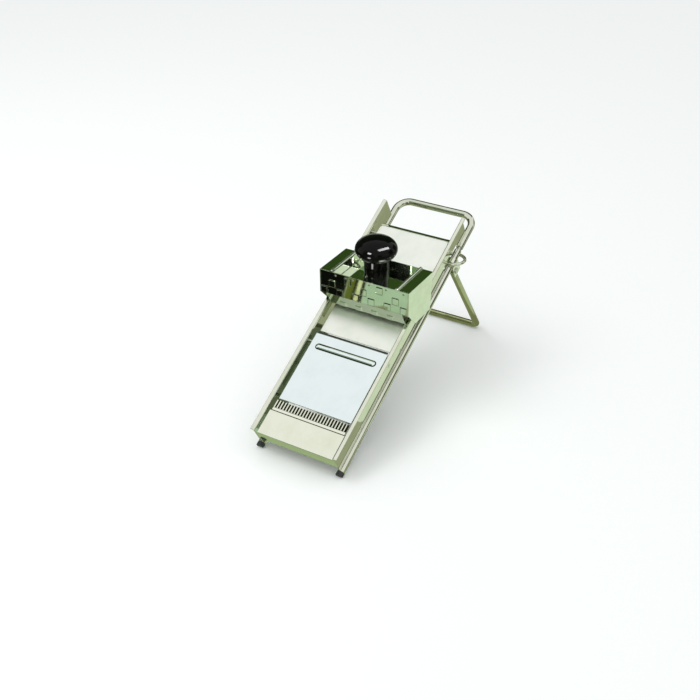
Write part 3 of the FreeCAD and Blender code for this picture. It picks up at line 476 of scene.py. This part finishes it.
@dataclass(frozen=True)
class MouldedResin(Finish):
    """Black phenolic resin, pressed in a polished mould.

    It gives the eye a deep black with sharp highlights, a faint orange peel, and hand marks.
    """

    name: str = "phenolic_resin_moulded"
    tint: str = "#050505"
    shade_tint: str = "#0B0B09"
    roughness: float = 0.05
    gleam: float = 0.1
    refraction: float = 1.5
    peel_grain: Triple = (3.0, 3.0, 3.0)
    peel_strength: float = 0.5
    peel_depth: float = 0.02
    mark_grain: Triple = (11.0, 11.0, 14.0)
    mark_gloss: float = 0.06

    def shade(self, tree: bpy.types.NodeTree) -> bpy.types.Node:
        """Mix the orange peel and hand marks of the resin.

        Args:
            tree: The material's node tree.

        Returns:
            The shader node.
        """
        peel = pattern(tree, self.peel_grain, detail=1.0)
        marks = pattern(tree, self.mark_grain, detail=4.0, rough=0.6)
        tone = add_node(tree, "ShaderNodeMix", {
            "Factor": marks, "A": linear(self.tint), "B": linear(self.shade_tint)}, data_type="RGBA")
        gloss = add_node(tree, "ShaderNodeMath", {
            0: marks, 1: self.mark_gloss, 2: self.roughness}, operation="MULTIPLY_ADD")
        bump = add_node(tree, "ShaderNodeBump", {
            "Height": peel, "Strength": self.peel_strength, "Distance": self.peel_depth * MM})
        return add_node(tree, "ShaderNodeBsdfPrincipled", {
            "Base Color": tone.outputs["Result"], "Roughness": gloss.outputs[0],
            "Specular IOR Level": self.gleam, "IOR": self.refraction, "Normal": bump.outputs["Normal"]})


@dataclass(frozen=True)
class MouldedPlug(Finish):
    """Dark polyamide, moulded with a spark eroded grain.

    It gives the eye a satin grey black with a fine, even grain that scuffs paler underneath.
    """

    name: str = "polyamide_moulded_grained"
    tint: str = "#26272A"
    scuff: str = "#4A4B4C"
    roughness: float = 0.48
    refraction: float = 1.53
    # Spark grain is about 0.1 mm wide, drawn 0.4 mm wide so that it shows
    spark_grain: Triple = (0.4, 0.4, 0.4)
    spark_gloss: float = 0.12
    spark_strength: float = 0.5
    spark_depth: float = 0.03
    rub_grain: Triple = (5.0, 5.0, 2.5)
    rub_range: Pair = (0.52, 0.74)
    rub_full: float = 0.6

    def shade(self, tree: bpy.types.NodeTree) -> bpy.types.Node:
        """Mix the mould grain and the scuffs.

        Args:
            tree: The material's node tree.

        Returns:
            The shader node.
        """
        grain = pattern(tree, self.spark_grain, detail=1.0)
        rubs = pattern(tree, self.rub_grain, detail=4.0, rough=0.7)
        faint, full = self.rub_range
        worn = add_node(tree, "ShaderNodeMapRange", {
            "Value": rubs, "From Min": faint, "From Max": full, "To Max": self.rub_full})
        tone = add_node(tree, "ShaderNodeMix", {
            "Factor": worn.outputs["Result"], "A": linear(self.tint), "B": linear(self.scuff),
        }, data_type="RGBA")
        gloss = add_node(tree, "ShaderNodeMath", {
            0: grain, 1: self.spark_gloss, 2: self.roughness}, operation="MULTIPLY_ADD")
        bump = add_node(tree, "ShaderNodeBump", {
            "Height": grain, "Strength": self.spark_strength, "Distance": self.spark_depth * MM})
        return add_node(tree, "ShaderNodeBsdfPrincipled", {
            "Base Color": tone.outputs["Result"], "Roughness": gloss.outputs[0],
            "IOR": self.refraction, "Normal": bump.outputs["Normal"]})


@dataclass(frozen=True)
class HonedFloor(Finish):
    """Pale limestone, honed flat.

    It gives the eye an even matt ground that keeps the part's soft shadow.
    """

    name: str = "limestone_floor_honed"
    tint: str = "#F1F4F3"
    roughness: float = 0.7

    def shade(self, tree: bpy.types.NodeTree) -> bpy.types.Node:
        """Give the stone one matt colour without gloss."""
        return add_node(tree, "ShaderNodeBsdfPrincipled", {
            "Base Color": linear(self.tint), "Roughness": self.roughness, "Specular IOR Level": 0.0})


@dataclass(frozen=True)
class PaintedBoard(Finish):
    """Board with flat paint, evenly lit.

    It gives the eye one flat colour, which only the metal mirrors.
    """

    colour: str

    @property
    def name(self) -> str:
        """Name the board for its paint."""
        return f"board_painted_{self.colour[1:].lower()}"

    def shade(self, tree: bpy.types.NodeTree) -> bpy.types.Node:
        """Show the paint at the level that it is written."""
        return add_node(tree, "ShaderNodeEmission", {"Color": linear(self.colour), "Strength": 1.0})


TUBE_STEEL = PolishedStainless("stainless_tube_polished", "#D3D6C6", "#C6CAB6",
                               roughness=0.04, cloud=0.03, wave=0.016, lie=Lie.BED)
# The leg's olive, darker tint is painted reflection of the olive surroundings that the polished tube
# mirrors
LEG_STEEL = PolishedStainless("stainless_leg_tube_polished", "#AEB389", "#9A9F76",
                              roughness=0.07, cloud=0.04, wave=0.016)
RAIL_STEEL = PolishedStainless("stainless_rail_polished", "#DFE2D2", "#D2D6C2",
                               roughness=0.03, cloud=0.03, wave=0.024, lie=Lie.BED)
END_STEEL = PolishedStainless("stainless_end_plate_polished", "#E6E9D8", "#DDE1CC",
                              roughness=0.05, cloud=0.04, wave=0.024, lie=Lie.BED)
# The centre plate gets a painted shade line in the crease round its rib
CENTRE_STEEL = RibbedStainless("stainless_centre_plate_polished", "#E7F0F0", "#E0EBEB",
                               roughness=0.04, cloud=0.03, wave=0.020, lie=Lie.BED, edge=1.0)
FEED_STEEL = PolishedStainless("stainless_feed_plate_satin", "#F5F8EF", "#EEF3E9",
                               roughness=0.34, cloud=0.04, wave=0.012, lie=Lie.BED)
CARRIAGE_STEEL = PolishedStainless("stainless_carriage_polished", "#E0E9D6", "#D5DFC8",
                                   roughness=0.025, cloud=0.03, wave=0.032, edge=0.4)
# The wavy blade is painted dark in the hollows of its waves and along the end plate's edge: painted shade,
# with some residue at the edge
WAVY_STEEL = GroundBladeSteel("hardened_stainless_ground", "#F2F4E6", "#DADDC8", roughness=0.03,
                              shade_height=1.15, shade_start=36.2)
# The straight blade's dark tint is painted shade: it stands for the shade in the gap between the feed and
# centre plates
GAP_SHADE_STEEL = GroundBladeSteel("hardened_stainless_painted_gap_shade", "#4A4F44", "#30342C", roughness=0.08)
ROD_STEEL = DrawnRod()
RESIN = MouldedResin()
PLUG = MouldedPlug()


def add_piece(mesh: bpy.types.Mesh, finish: Finish, body: Body) -> None:
    """Add a piece of trim that rides on a body.

    Args:
        mesh: The piece's mesh, in place.
        finish: The finish that it wears.
        body: The body that carries it.
    """
    piece = bpy.data.objects.new(mesh.name, mesh)
    mesh.materials.append(finish.material())
    bpy.context.scene.collection.objects.link(piece)
    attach(piece, body.value)
    LOG.info("piece %s on %s", piece.name, body.value)


def dress(finish: Finish, *names: str) -> None:
    """Give solids of the frame their finish.

    Args:
        finish: The finish that they wear.
        *names: Names of the nodes.
    """
    for name in names:
        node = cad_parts[name]
        node.data.materials.clear()
        node.data.materials.append(finish.material())
        LOG.info("solid %s wears %s", name, finish.name)


class SubAssembly(ABC):
    """A group of pieces that is built and dressed together."""

    @abstractmethod
    def build(self) -> None:
        """Make the group's trim."""

    @abstractmethod
    def dress(self) -> None:
        """Give the group's solids their finishes."""


@dataclass
class TubeFrame(SubAssembly):
    """Arms and handle of bent tube, with the braze that holds the rails on the arms.

    Sizes are in millimetres: where the bead runs on the web's outside, its radius and ripple.
    The taper is the share of its radius that is left at the bead's ends.
    """

    web_outside: float = 59.1
    seat_drop: float = 23.5
    bead_start: float = 4.0
    bead_end: float = 352.0
    bead_radius: float = 0.8
    bead_taper: float = 0.3
    bead_corners: int = 8
    ripple: float = 0.12
    ripple_pitch: float = 2.2

    def bead(self, side: Side) -> bpy.types.Mesh:
        """Lay a rippled bead of braze between one rail and its arm.

        Args:
            side: The rail's side.

        Returns:
            The bead's mesh.
        """
        length = self.bead_end - self.bead_start
        steps = int(length / self.ripple_pitch * 2)
        rings = []
        for step in range(steps + 1):
            along = self.bead_start + length * step / steps
            radius = self.bead_radius + self.ripple * (-1) ** step
            if step in (0, steps):
                radius *= self.bead_taper
            ring = []
            for corner in range(self.bead_corners):
                angle = side.value * 2 * math.pi * corner / self.bead_corners
                ring.append(on_bed(side.value * self.web_outside + radius * math.cos(angle), along,
                                   radius * math.sin(angle) - self.seat_drop))
            rings.append(ring)
        return loft(f"{side.name.lower()}_rail_braze", rings)

    def build(self) -> None:
        """Braze the rails on the arms."""
        for side in Side:
            add_piece(self.bead(side), ROD_STEEL, Body.FRAME)

    def dress(self) -> None:
        """Polish the tubes, leave the spigots drawn, and put plugs in the ends."""
        dress(TUBE_STEEL, "left_arm_tube", "right_arm_tube", "handle_tube",
              "left_stop_ring", "right_stop_ring")
        dress(ROD_STEEL, "handle_spigots")
        dress(PLUG, "tube_end_plugs")


@dataclass
class SideRails(SubAssembly):
    """Side rails with a rolled hem under the flange's edge, and the rods between them.

    Sizes are in millimetres in the bed's frame. The hem starts a gap inside the rail's end, and
    takes its full height a little further in.
    """

    rail_length: float = 385.0
    flange_edge: float = 63.4
    flange_under: float = 6.8
    hem_width: float = 1.9
    hem_height: float = 1.5
    hem_steps: int = 8
    end_gap: float = 0.4
    end_full: float = 1.0
    end_height: float = 0.8

    def hem(self, side: Side) -> bpy.types.Mesh:
        """Roll a hem along one flange.

        Args:
            side: The rail's side.

        Returns:
            The hem's mesh.
        """
        profile = []
        for step in range(self.hem_steps + 1):
            angle = math.pi * step / self.hem_steps
            profile.append((self.flange_edge - self.hem_width / 2 * (1 - math.cos(angle)),
                            -self.hem_height * math.sin(angle)))
        if side is Side.RIGHT:
            profile.reverse()
        stations = ((self.end_gap, self.end_height), (self.end_full, 1.0),
                    (self.rail_length - self.end_full, 1.0),
                    (self.rail_length - self.end_gap, self.end_height))
        rings = []
        for along, height in stations:
            rings.append([on_bed(side.value * x, along, self.flange_under + drop * height)
                          for x, drop in profile])
        return loft(f"{side.name.lower()}_rail_hem", rings)

    def build(self) -> None:
        """Roll the hems."""
        for side in Side:
            add_piece(self.hem(side), RAIL_STEEL, Body.FRAME)

    def dress(self) -> None:
        """Polish the rails and leave the rods drawn."""
        dress(RAIL_STEEL, "left_side_rail", "right_side_rail")
        dress(ROD_STEEL, "feed_hinge_rod", "centre_hinge_rod", "tie_rods")


@dataclass
class Bed(SubAssembly):
    """End, centre and feed plates, with the blades between them and a lip on the feed plate.

    Sizes are in millimetres in the bed's frame: the lip's half width, where the feed plate ends,
    its top, its wall, how wide the lip is, how far it starts on the plate and under its top, the
    steps of its bend, and the strip at each side.
    """

    lip_half: float = 52.6
    feed_end: float = 350.0
    feed_top: float = -3.6
    wall: float = 1.2
    lip_width: float = 4.6
    lip_overlap: float = 0.4
    lip_drop: float = 0.02
    bend_steps: int = 5
    bend_step: float = 0.35
    lip_side: float = 0.5

    def lip(self) -> bpy.types.Mesh:
        """Bend down the feed plate's upper end until it lies level.

        Returns:
            The lip's mesh.
        """
        start, above = self.feed_end - self.lip_overlap, self.feed_top - self.lip_drop
        stations = []
        for step in range(self.bend_steps + 1):
            bend = BED_TILT * step / self.bend_steps
            above -= self.bend_step * math.sin(bend)
            stations.append((start + self.bend_step * step, above, bend))
        reach = self.lip_width + self.bend_step * self.bend_steps
        stations.append((start + reach * math.cos(BED_TILT),
                         above - self.lip_width * math.sin(BED_TILT), BED_TILT))
        top = [(along, height) for along, height, _ in stations]
        under = [(along - self.wall * math.sin(bend), height - self.wall * math.cos(bend))
                 for along, height, bend in stations]
        profile = top + under[::-1]
        inside = self.lip_half - self.lip_side
        rings = [[on_bed(across, along, height) for along, height in profile]
                 for across in (-self.lip_half, -inside, inside, self.lip_half)]
        return loft("feed_plate_lip", rings)

    def build(self) -> None:
        """Bend the lip."""
        add_piece(self.lip(), RAIL_STEEL, Body.FEED_TABLE)

    def dress(self) -> None:
        """Polish the plates and grind the blades."""
        dress(END_STEEL, "end_plate")
        dress(CENTRE_STEEL, "centre_plate")
        dress(FEED_STEEL, "feed_plate")
        dress(GAP_SHADE_STEEL, "straight_blade")
        dress(WAVY_STEEL, "wavy_blade")
        dress(ROD_STEEL, "straight_blade_rivets", "wavy_blade_rivets")


@dataclass
class Controls(SubAssembly):
    """Cam shafts, cams and levers under the two tilting plates."""

    def build(self) -> None:
        """Nothing is added: the solids have every form of the controls."""

    def dress(self) -> None:
        """Leave shafts, cams and levers drawn, and the lever knobs moulded."""
        for plate in ("feed", "centre"):
            dress(ROD_STEEL, f"{plate}_cam_shaft", f"{plate}_cams", f"{plate}_lever")
            dress(RESIN, f"{plate}_lever_knob")


@dataclass
class FoldingLeg(SubAssembly):
    """The leg of bent tube, its clips and pins."""

    def build(self) -> None:
        """Nothing is added: the solids have every form of the leg."""

    def dress(self) -> None:
        """Polish the leg's tube and its fittings."""
        dress(LEG_STEEL, "leg_tube", "left_leg_eye", "right_leg_eye")
        dress(RAIL_STEEL, "left_leg_clip", "right_leg_clip")
        dress(ROD_STEEL, "leg_pivot_pins")


@dataclass
class Carriage(SubAssembly):
    """The food carriage of folded sheet, with a row of rivets under the front's top edge.

    Sizes are in millimetres: the rivets' place across the front, their drop below its top edge,
    the radius and rise of their heads, the heads' rim and flat tip, and how far the claws stand
    out of the front.
    """

    rivets_across: tuple[float, ...] = (-42.0, -16.0, 8.5, 33.5, 58.5)
    rivet_drop: float = 3.6
    rivet_radius: float = 1.5
    rivet_rise: float = 0.7
    rivet_rim: float = 0.15
    rivet_tip: float = 0.1
    rivet_corners: int = 16
    dome_steps: int = 6
    claw_reach: float = 1.0

    def rivet(self, index: int, across: float) -> bpy.types.Mesh:
        """Press one domed rivet head on the front.

        Args:
            index: The rivet's number.
            across: Its place across the front.

        Returns:
            The head's mesh.
        """
        low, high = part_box("carriage_front_plate")
        dome = [(self.rivet_radius, 0.0), (self.rivet_radius, self.rivet_rim)]
        for step in range(1, self.dome_steps):
            angle = math.pi / 2 * step / self.dome_steps
            dome.append((self.rivet_radius * math.cos(angle),
                         self.rivet_rim + (self.rivet_rise - self.rivet_rim) * math.sin(angle)))
        dome.append((self.rivet_tip, self.rivet_rise))
        front = low[1] + self.claw_reach * MM
        place = Matrix.Translation(Vector((across * MM, front, high[2] - self.rivet_drop * MM)))
        place @= Matrix.Rotation(math.pi / 2, 4, "X")
        return turned(f"front_rivet_{index}", dome, place, self.rivet_corners)

    def build(self) -> None:
        """Press the row of rivets."""
        for index, across in enumerate(self.rivets_across):
            add_piece(self.rivet(index, across), ROD_STEEL, Body.CARRIAGE)

    def dress(self) -> None:
        """Polish the carriage's sheets."""
        dress(CARRIAGE_STEEL, "carriage_front_plate", "carriage_left_side", "carriage_right_side",
              "carriage_well", "carriage_left_glide", "carriage_right_glide")


@dataclass
class Pusher(SubAssembly):
    """The pusher with its spikes and mushroom knob."""

    def build(self) -> None:
        """Nothing is added: the solids have every form of the pusher."""

    def dress(self) -> None:
        """Polish the plate, leave spikes and screw drawn, and mould the knob."""
        dress(CARRIAGE_STEEL, "pusher_plate")
        dress(ROD_STEEL, "pusher_spikes", "knob_screw")
        dress(RESIN, "pusher_knob")


def rectangle(name: str, size: Pair, finish: Finish) -> bpy.types.Object:
    """Make a flat rectangle of the studio, which isn't part of the slicer.

    Args:
        name: The rectangle's name.
        size: Its width and height, in metres.
        finish: The finish that it wears.

    Returns:
        The new object, with its middle at the origin.
    """
    wide, high = size[0] / 2, size[1] / 2
    mesh = bpy.data.meshes.new(name)
    mesh.from_pydata([(-wide, -high, 0), (wide, -high, 0), (wide, high, 0), (-wide, high, 0)], [],
                     [(0, 1, 2, 3)])
    mesh.materials.append(finish.material())
    sheet = bpy.data.objects.new(name, mesh)
    bpy.context.scene.collection.objects.link(sheet)
    return sheet


@dataclass(frozen=True)
class Card:
    """A card that only the metal mirrors.

    Lengths are in metres. The card faces a point, or straight up with none given, and is turned
    about its own middle by some degrees.
    """

    name: str
    colour: str
    centre: Triple
    size: Pair
    facing: Triple | None = None
    turn: float = 0.0

    def stand(self) -> None:
        """Stand the card in its place, out of sight of the camera and of matt surfaces."""
        card = rectangle(self.name, self.size, PaintedBoard(self.colour))
        card.location = self.centre
        way = UP if self.facing is None else Vector(self.facing) - Vector(self.centre)
        card.rotation_euler = aimed(way, "Z", self.turn)
        card.visible_camera = False
        card.visible_diffuse = False
        card.visible_shadow = False


@dataclass(frozen=True)
class Lamp:
    """A rectangular lamp.

    Lengths are in metres and the power in watts. The lamp faces a point, and is turned about that
    way by some degrees. It shines on the named nodes, which mirror it; with none, it lights all
    that is matt.
    """

    name: str
    place: Triple
    facing: Triple
    size: Pair
    power: float
    shines_on: tuple[str, ...] = ()
    turn: float = 0.0

    def hang(self) -> None:
        """Hang the lamp in its place."""
        data = bpy.data.lights.new(self.name, "AREA")
        data.shape = "RECTANGLE"
        data.size, data.size_y = self.size
        data.energy = self.power
        lamp = bpy.data.objects.new(self.name, data)
        lamp.location = self.place
        lamp.rotation_euler = aimed(Vector(self.facing) - Vector(self.place), "-Z", self.turn)
        lamp.visible_camera = False
        lamp.visible_glossy = bool(self.shines_on)
        lamp.visible_diffuse = not self.shines_on
        if self.shines_on:
            lit = bpy.data.collections.new(f"{self.name}_lit")
            for node in self.shines_on:
                lit.objects.link(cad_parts[node])
            lamp.light_linking.receiver_collection = lit
        bpy.context.scene.collection.objects.link(lamp)


MIDDLE: Triple = (0.0, 0.0, 0.12)
KNOB: Triple = (0.0, -0.002, 0.213)
DARK = "#14170F"


@dataclass
class Studio:
    """Pale floor, soft lamps, cards that the metal mirrors, and the camera.

    Lengths are in metres and angles in degrees. Each flag has a name, its bearing from the part, its
    width, the height of its top and its colour. Each strip on the floor in front of the part has a
    name, its place across, its width and its colour.
    """

    floor_size: float = 60.0
    sky_fill: float = 0.94
    aim: Triple = (0.0, -0.02124, 0.100)
    azimuth: float = 29.91
    elevation: float = 32.02
    distance: float = 1.36208
    lens: float = 52.43
    sensor: float = 36.0
    shift: Pair = (-0.0271, -0.0287)
    lamps: tuple[Lamp, ...] = (
        Lamp("key_softbox", (-0.9, -0.7, 1.7), MIDDLE, size=(0.9, 0.9), power=11.0),
        Lamp("top_strip", (0.605, 0.106, 1.244), KNOB, size=(1.1, 0.32), power=75.0, turn=-30.0,
             shines_on=("pusher_knob", "pusher_plate", "carriage_well", "carriage_right_side")),
        Lamp("front_strip", (-0.23, -1.30, 0.93), KNOB, size=(0.45, 0.36), power=45.0,
             shines_on=("pusher_knob", "pusher_plate")),
        Lamp("low_strip", (-0.042, -0.33, 0.006), KNOB, size=(0.09, 0.22), power=2.6,
             shines_on=("pusher_knob",)),
    )
    flag_distance: float = 1.7
    flag_foot: float = 0.02
    flags: tuple[tuple[str, float, float, float, str], ...] = (
        ("right", 22.0, 0.90, 1.15, "#525A4A"),
        ("back_right", 62.0, 0.80, 0.95, "#5A6252"),
        ("back", 97.0, 0.75, 0.95, DARK),
        ("left", 165.0, 1.30, 1.55, "#4A5244"),
        ("front_left", 242.0, 1.00, 1.00, "#727A68"),
        ("front", 279.0, 0.60, 0.75, "#8E9684"),
        ("front_right", 318.0, 0.70, 0.75, "#727A68"),
    )
    strip_along: float = -0.271
    strip_lift: float = 0.002
    strip_length: float = 0.30
    strip_turn: float = -22.2
    strips: tuple[tuple[str, float, float, str], ...] = (
        ("black", -0.2520, 0.148, "#0E0F0B"),
        ("olive", -0.1640, 0.011, "#66702F"),
        ("brown", -0.1555, 0.006, "#1C1D10"),
        ("yellow", -0.1490, 0.007, "#E2E6B4"),
        ("dark", -0.1420, 0.005, DARK),
        ("pale", -0.0985, 0.074, "#B5CDB2"),
    )
    cards: tuple[Card, ...] = (
        Card("ground_card", "#A3A98C", (0.0, 0.0, 0.0005), size=(3.0, 3.0)),
        Card("left_floor_card", DARK, (-1.05, 0.1, 0.001), size=(1.3, 1.8)),
        Card("olive_card", "#344820", (-0.60, 1.04, 0.80), size=(1.7, 1.15), facing=MIDDLE),
        Card("green_card", "#86A080", (-0.85, -1.47, 1.30), size=(0.9, 0.55), facing=MIDDLE),
        Card("right_card", "#DDEAD2", (0.23, 0.16, 0.001), size=(0.28, 0.5)),
        # Painted shadow: an olive-grey card on the floor before the end plate, mirrored by its apron in
        # place of the shade there
        Card("apron_shadow_card", "#A3B78A", (-0.01, -0.212, 0.003), size=(0.18, 0.05)),
        # Painted shadow: a dark card under the bed, mirrored by the metal in place of the shade there
        Card("under_bed_shadow_card", "#5C664F", (0.0, -0.04, 0.002), size=(0.11, 0.26)),
    )

    def flag_cards(self) -> list[Card]:
        """Set the flags in a ring round the part.

        Returns:
            The flags as cards.
        """
        ring = []
        for name, bearing, width, top, colour in self.flags:
            turn, lift = math.radians(bearing), (self.flag_foot + top) / 2
            centre = (self.flag_distance * math.cos(turn), self.flag_distance * math.sin(turn), lift)
            ring.append(Card(f"{name}_flag", colour, centre, size=(width, top - self.flag_foot),
                             facing=(0.0, 0.0, lift)))
        return ring

    def strip_cards(self) -> list[Card]:
        """Lay the strips side by side on the floor.

        Returns:
            The strips as cards.
        """
        return [Card(f"{name}_card", colour, (across, self.strip_along, self.strip_lift),
                     size=(width, self.strip_length), turn=self.strip_turn)
                for name, across, width, colour in self.strips]

    def sky(self) -> None:
        """Light softly from all round: white to the eye and in mirrors, dimmer on matt surfaces."""
        world = bpy.data.worlds.new("studio_sky")
        bpy.context.scene.world = world
        world.use_nodes = True
        tree = world.node_tree
        tree.nodes.clear()
        path = add_node(tree, "ShaderNodeLightPath")
        seen = add_node(tree, "ShaderNodeMath", {
            0: path.outputs["Is Camera Ray"], 1: path.outputs["Is Glossy Ray"]}, operation="MAXIMUM")
        clear = add_node(tree, "ShaderNodeMath", {
            0: seen.outputs[0], 1: path.outputs["Is Transmission Ray"]}, operation="MAXIMUM")
        level = add_node(tree, "ShaderNodeMath", {
            0: clear.outputs[0], 1: 1.0 - self.sky_fill, 2: self.sky_fill}, operation="MULTIPLY_ADD")
        back = add_node(tree, "ShaderNodeBackground", {
            "Color": (1.0, 1.0, 1.0, 1.0), "Strength": level.outputs[0]})
        add_node(tree, "ShaderNodeOutputWorld", {"Surface": back.outputs[0]})

    def camera(self) -> None:
        """Set the camera at the photograph's viewing angle."""
        data = bpy.data.cameras.new("camera")
        data.lens = self.lens
        data.sensor_width = self.sensor
        data.shift_x, data.shift_y = self.shift
        camera = bpy.data.objects.new("camera", data)
        turn, rise = math.radians(self.azimuth), math.radians(self.elevation)
        back = Vector((math.sin(turn) * math.cos(rise), -math.cos(turn) * math.cos(rise), math.sin(rise)))
        camera.location = Vector(self.aim) + back * self.distance
        camera.rotation_euler = aimed(-back, "-Z")
        bpy.context.scene.collection.objects.link(camera)
        bpy.context.scene.camera = camera

    def build(self) -> None:
        """Set up the whole studio."""
        bpy.context.scene.view_settings.view_transform = "Standard"
        rectangle("floor", (self.floor_size, self.floor_size), HonedFloor())
        self.sky()
        for lamp in self.lamps:
            lamp.hang()
        for card in (*self.flag_cards(), *self.strip_cards(), *self.cards):
            card.stand()
        self.camera()


def main() -> None:
    """Build the slicer's groups in order, and set up the studio."""
    logging.basicConfig(level=logging.INFO, format="%(name)s: %(message)s")
    groups: list[SubAssembly] = [
        TubeFrame(), SideRails(), Bed(), Controls(), FoldingLeg(), Carriage(), Pusher()]
    for group in groups:
        group.build()
        group.dress()
        LOG.info("group %s done", type(group).__name__)
    Studio().build()


if __name__ == "__main__":
    main()
